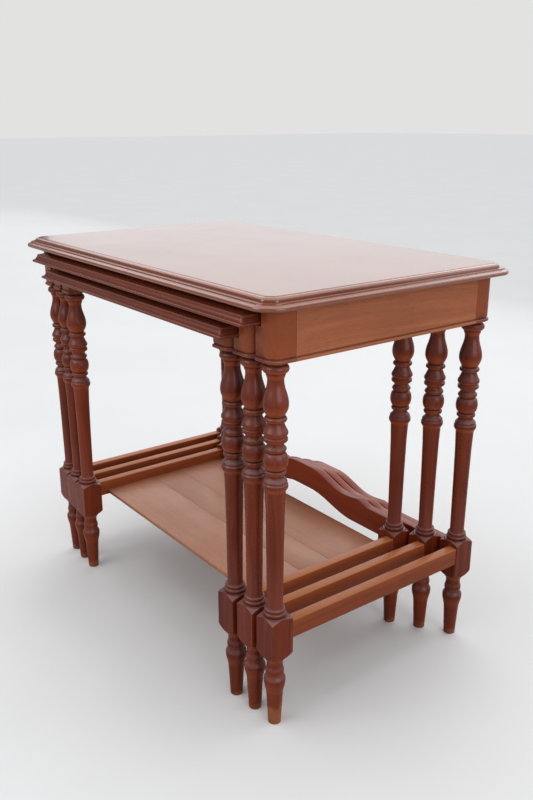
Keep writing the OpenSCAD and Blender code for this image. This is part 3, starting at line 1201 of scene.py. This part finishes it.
    def dress(self, piece: Piece, groups: WoodGroups) -> Object:
        """Gives the leg its dark polish, orange at the post and bare at the foot.

        Args:
            piece: The leg.
            groups: The shared node groups.

        Returns:
            The finished object.
        """
        near = self.bay.rank is Rank.LARGE and self.side is Side.RIGHT and self.row is Row.FRONT
        finish = WORN_FOOT_WOOD if near else TURNED_WOOD
        return piece.make(finish.material(groups, Grain.ALONG_Z, piece.name))


@dataclass
class EndFrame:
    """One end of a table: apron and stretcher between two legs. Sizes in millimetres."""

    bay: Bay
    side: Side
    apron: float = 19.0
    worn_arris: float = 1.3

    def build_apron(self) -> Piece:
        """Builds the apron with its bead and quirk.

        Returns:
            The piece.
        """
        low = self.bay.box(f"apron_{self.side.name.lower()}")[0].z
        outer = self.bay.outer_x / MM
        inner = outer - self.apron
        foot, top = low / MM, self.bay.post_top / MM
        outline = [(inner, foot), *BeadAndQuirk().outline(outer, foot), (outer, top), (inner, top)]
        shell = sawn(metres(outline), self.bay.back_y - self.bay.front_y)
        name = self.bay.node(f"apron_{self.side.name.lower()}")
        place = (Matrix.Diagonal((self.side.value, 1, 1, 1))
                 @ Matrix.Translation((0, self.bay.front_y, 0)))
        return Piece(name, self.bay.rank, "frame_mahogany").add(shell, place)

    def build_stretcher(self) -> Piece:
        """Builds the stretcher between the lower blocks.

        Returns:
            The piece.
        """
        part = f"stretcher_{self.side.name.lower()}"
        low, high = self.bay.box(part)
        low.y, high.y = self.bay.front_y, self.bay.back_y
        shell = board(low, high, Grain.ALONG_Y, self.worn_arris * MM)
        return Piece(self.bay.node(part), self.bay.rank, "frame_mahogany").add(shell)

    def dress(self, piece: Piece, groups: WoodGroups) -> Object:
        """Gives the apron the orange-brown polish and the stretcher the redder one."""
        finish = FRAME_WOOD if "apron" in piece.name else STRETCHER_WOOD
        return piece.make(finish.material(groups, Grain.ALONG_Y, piece.name))


@dataclass
class BackFrame:
    """The back of a table: plain apron and serpentine rail. Sizes in millimetres.

    An edge of the rail that follows X less closely than end_grain lies on an end, and stays crisp.
    """

    bay: Bay
    crown: float = 202.5
    hollow: float = 182.3
    shoulder: float = 185.3
    arch: float = 20.5
    step: float = 11.0
    crown_x: float = 20.0
    hollow_x: float = 107.0
    shoulder_x: float = 138.0
    level_x: float = 172.0
    arch_x: float = 130.0
    end_top: float = 178.0
    soften: float = 0.8
    rail_arris: float = 1.6
    end_grain: float = 0.2

    def build_apron(self) -> Piece:
        """Builds the plain apron between the back posts.

        Returns:
            The piece.
        """
        low, high = self.bay.box("apron_back")
        reach = self.bay.inner_x
        shell = board(Vector((-reach, low.y, low.z)), Vector((reach, high.y, self.bay.post_top)),
                      Grain.ALONG_X, self.soften * MM)
        return Piece(self.bay.node("apron_back"), self.bay.rank, "frame_mahogany").add(shell)

    def upper_edge(self, reach: float) -> list[Point]:
        """Draws the right half of the rail's upper edge: crown, hollow, shoulder, level end.

        Args:
            reach: Distance from the middle to the rail's end.

        Returns:
            The points as (across, up), from the middle out.
        """
        crown = ease((self.crown, self.crown_x), (self.hollow, self.hollow_x), 24)
        rise = [(self.hollow + (self.shoulder - self.hollow) * (1 - math.cos(a)),
                 self.hollow_x + (self.shoulder_x - self.hollow_x) * a / (math.pi / 2))
                for a in (math.pi / 2 * k / 8 for k in range(1, 8))]
        fall = ease((self.shoulder, self.shoulder_x), (self.end_top, self.level_x), 14)
        return [(x, z) for z, x in ((self.crown, 0), *crown, *rise, *fall, (self.end_top, reach))]

    def lower_edge(self, foot: float, reach: float) -> list[Point]:
        """Draws the right half of the rail's lower edge, a long low arch.

        Args:
            foot: Height of the rail's ends.
            reach: Distance from the middle to the rail's end.

        Returns:
            The points as (across, up), from the middle out.
        """
        curve = ease((foot + self.arch, self.crown_x), (foot, self.arch_x), 24)
        return [(x, z) for z, x in ((foot + self.arch, 0), *curve, (foot, reach))]

    def build_rail(self) -> Piece:
        """Saws the rail and softens its arrises.

        Returns:
            The piece.
        """
        low, high = self.bay.box("rail")
        reach = self.bay.inner_x / MM
        drop = self.step * (Rank.SMALL.depth - self.bay.rank.depth)
        upper = [(x, z - drop) for x, z in self.upper_edge(reach)]
        lower = self.lower_edge(low.z / MM, reach)
        round_it = [*upper, *lower[::-1], *((-x, z) for x, z in lower[1:]),
                    *((-x, z) for x, z in upper[:0:-1])]
        shell = sawn(metres(round_it), high.y - low.y)
        long_edges = [edge for edge in sharp_edges(shell, 50) if follows(edge, 0) > self.end_grain]
        rounded(shell, long_edges, self.rail_arris * MM)
        place = Matrix.Translation((0, low.y, 0))
        return Piece(self.bay.node("rail"), self.bay.rank, "turned_mahogany").add(shell, place)

    def dress(self, piece: Piece, groups: WoodGroups) -> Object:
        """Gives the apron the orange-brown polish and the rail the dark one."""
        finish = RAIL_WOOD if piece.name.endswith("rail") else FRAME_WOOD
        return piece.make(finish.material(groups, Grain.ALONG_X, piece.name))


@dataclass
class Shelf:
    """The three boards of the small table's shelf. Sizes in millimetres."""

    soften: float = 0.35

    def build(self) -> list[Piece]:
        """Builds the boards where the frame has them.

        Returns:
            The pieces.
        """
        pieces = []
        for part in ("front", "middle", "back"):
            low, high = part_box(f"shelf_{part}")
            shell = board(low, high, Grain.ALONG_X, self.soften * MM)
            pieces.append(Piece(f"shelf_{part}", Rank.SMALL, "shelf_mahogany").add(shell))
        return pieces

    def dress(self, piece: Piece, groups: WoodGroups) -> Object:
        """Gives a board its pale worn polish, its paleness partly painted light."""
        return piece.make(SHELF_WOOD.material(groups, Grain.ALONG_X, piece.name))


@dataclass
class Table:
    """One table of the nest."""

    rank: Rank

    def make(self, groups: WoodGroups) -> list[Object]:
        """Builds and dresses every piece of the table.

        Args:
            groups: The shared node groups.

        Returns:
            The finished objects.
        """
        bay = Bay(self.rank)
        top, back = MouldedTop(bay), BackFrame(bay)
        made = [top.dress(top.build(), groups)]
        for side in Side:
            for row in Row:
                leg = TurnedLeg(bay, side, row)
                made.append(leg.dress(leg.build(), groups))
            end = EndFrame(bay, side)
            made += [end.dress(end.build_apron(), groups),
                     end.dress(end.build_stretcher(), groups)]
        made += [back.dress(back.build_apron(), groups), back.dress(back.build_rail(), groups)]
        return made


# ----- Studio -----


@dataclass(frozen=True)
class SoftBox:
    """A rectangular soft light, aimed at a point."""

    name: str
    place: tuple[float, float, float]
    aim: tuple[float, float, float]
    width: float
    height: float
    radiance: float
    tint: Colour = (1.0, 1.0, 1.0)

    def hang(self) -> Object:
        """Hangs the light, out of the camera's sight.

        Returns:
            The light's object.
        """
        lamp = bpy.data.lights.new(self.name, "AREA")
        lamp.shape = "RECTANGLE"
        lamp.size, lamp.size_y = self.width, self.height
        lamp.energy = self.radiance * math.pi * self.width * self.height
        lamp.color = self.tint
        way = Vector(self.aim) - Vector(self.place)
        turn = way.to_track_quat("-Z", "Y").to_matrix().to_4x4()
        thing = bring_in(self.name, lamp, Matrix.Translation(self.place) @ turn)
        thing.visible_camera = False
        return thing


@dataclass
class Studio:
    """Pale floor, soft light and camera. Metres and degrees, and the lens in millimetres."""

    floor_half: float = 40.0
    floor_colour: Colour = (0.74, 0.736, 0.728)
    floor_bounce: float = 0.45
    floor_clouds: float = 2.2
    cloud_tone: float = 0.9
    cloud_share: float = 0.35
    sky: Colour = (0.13, 0.135, 0.145)
    backdrop: Colour = (0.76, 0.76, 0.755)
    sun_strength: float = 2.8
    sun_angle: float = 110.0
    sun_tint: Colour = (0.96, 0.98, 1.0)
    sun_lean: tuple[float, float] = (-12.0, -14.0)
    eye: tuple[float, float, float] = (1.07937, -0.77295, 0.78988)
    turn: float = 53.369
    tilt: float = 18.261
    lean: float = -0.182
    lens: float = 37.948
    sensor: float = 36.0
    nearest: float = 0.05
    shift: Point = (0.01091, -0.0017)
    lights: tuple[SoftBox, ...] = (
        SoftBox("wall_bounce", (-2.0, 2.5, 1.55), (-2.0, 0.0, 1.55), 9.4, 1.8, 0.78),
        SoftBox("right_fill", (3.4, -0.2, 1.5), (0.0, 0.0, 0.4), 2.6, 2.0, 2.1),
        SoftBox("front_key", (-0.3, -2.5, 1.8), (0.0, 0.0, 0.3), 2.0, 1.4, 2.6))

    def lay_floor(self) -> Object:
        """Lays the floor under the feet.

        Returns:
            The floor's object.
        """
        shell = bmesh.new()
        bmesh.ops.create_grid(shell, x_segments=1, y_segments=1, size=self.floor_half)
        mesh = bpy.data.meshes.new("floor")
        shell.to_mesh(mesh)
        shell.free()
        made = bpy.data.materials.new("pale_floor")
        tree = cleared(made)
        place = put(tree, "ShaderNodeTexCoord").outputs["Object"]
        cloud = noise(tree, place, self.floor_clouds, 6.0, 0.6)
        colour = mix(tree, ramp(tree, cloud, 0.3, 0.7, 0.0, self.cloud_share),
                     paint(self.floor_colour), paint(self.floor_colour, self.cloud_tone))
        seen = put(tree, "ShaderNodeLightPath").outputs["Is Camera Ray"]
        colour = mix(tree, seen, paint(self.floor_colour, self.floor_bounce), colour)
        shader = put(tree, "ShaderNodeBsdfPrincipled", {"Base Color": colour, "Roughness": 0.85})
        put(tree, "ShaderNodeOutputMaterial", {"Surface": shader.outputs[0]})
        mesh.materials.append(made)
        floor = bring_in("floor", mesh)
        return floor

    def light(self) -> None:
        """Hangs the lights and sets the soft light all round."""
        world = bpy.data.worlds.new("studio")
        tree = cleared(world)
        seen = put(tree, "ShaderNodeLightPath").outputs["Is Camera Ray"]
        colour = mix(tree, seen, paint(self.sky), paint(self.backdrop))
        glow = put(tree, "ShaderNodeBackground", {"Color": colour, "Strength": 1.0})
        put(tree, "ShaderNodeOutputWorld", {"Surface": glow.outputs[0]})
        bpy.context.scene.world = world
        sun = bpy.data.lights.new("wide_sun", "SUN")
        sun.energy = self.sun_strength
        sun.angle = math.radians(self.sun_angle)
        sun.color = self.sun_tint
        lean_x, lean_y = (math.radians(angle) for angle in self.sun_lean)
        bring_in("wide_sun", sun,
                 Matrix.Rotation(lean_x, 4, "X") @ Matrix.Rotation(lean_y, 4, "Y"))
        for box in self.lights:
            box.hang()

    def point_camera(self) -> Object:
        """Sets up the camera.

        Returns:
            The camera's object.
        """
        turn, tilt, lean = (math.radians(a) for a in (self.turn, self.tilt, self.lean))
        back = Vector((math.sin(turn) * math.cos(tilt), -math.cos(turn) * math.cos(tilt),
                       math.sin(tilt)))
        right = Vector((math.cos(turn), math.sin(turn), 0.0))
        up = back.cross(right)
        leaned_right = right * math.cos(lean) + up * math.sin(lean)
        leaned_up = up * math.cos(lean) - right * math.sin(lean)
        lens = bpy.data.cameras.new("camera")
        lens.sensor_width = self.sensor
        lens.lens = self.lens
        lens.shift_x, lens.shift_y = self.shift
        lens.clip_start = self.nearest
        axes = Matrix((leaned_right, leaned_up, back)).transposed().to_4x4()
        camera = bring_in("camera", lens, Matrix.Translation(self.eye) @ axes)
        bpy.context.scene.camera = camera
        return camera

    def set_up(self) -> None:
        """Sets up the whole studio."""
        bpy.context.scene.view_settings.view_transform = "Standard"
        self.lay_floor()
        self.light()
        self.point_camera()
        LOG.info("studio: floor, sun, %d soft boxes and the camera", len(self.lights))


def main() -> None:
    """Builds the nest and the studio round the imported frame."""
    logging.basicConfig(level=logging.INFO, format="%(name)s: %(message)s")
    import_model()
    Studio().set_up()
    groups = WoodGroups()
    for rank in Rank:
        made = Table(rank).make(groups)
        LOG.info("%s: %d pieces", rank.body, len(made))
    shelf = Shelf()
    for piece in shelf.build():
        shelf.dress(piece, groups)


if __name__ == "__main__":
    main()
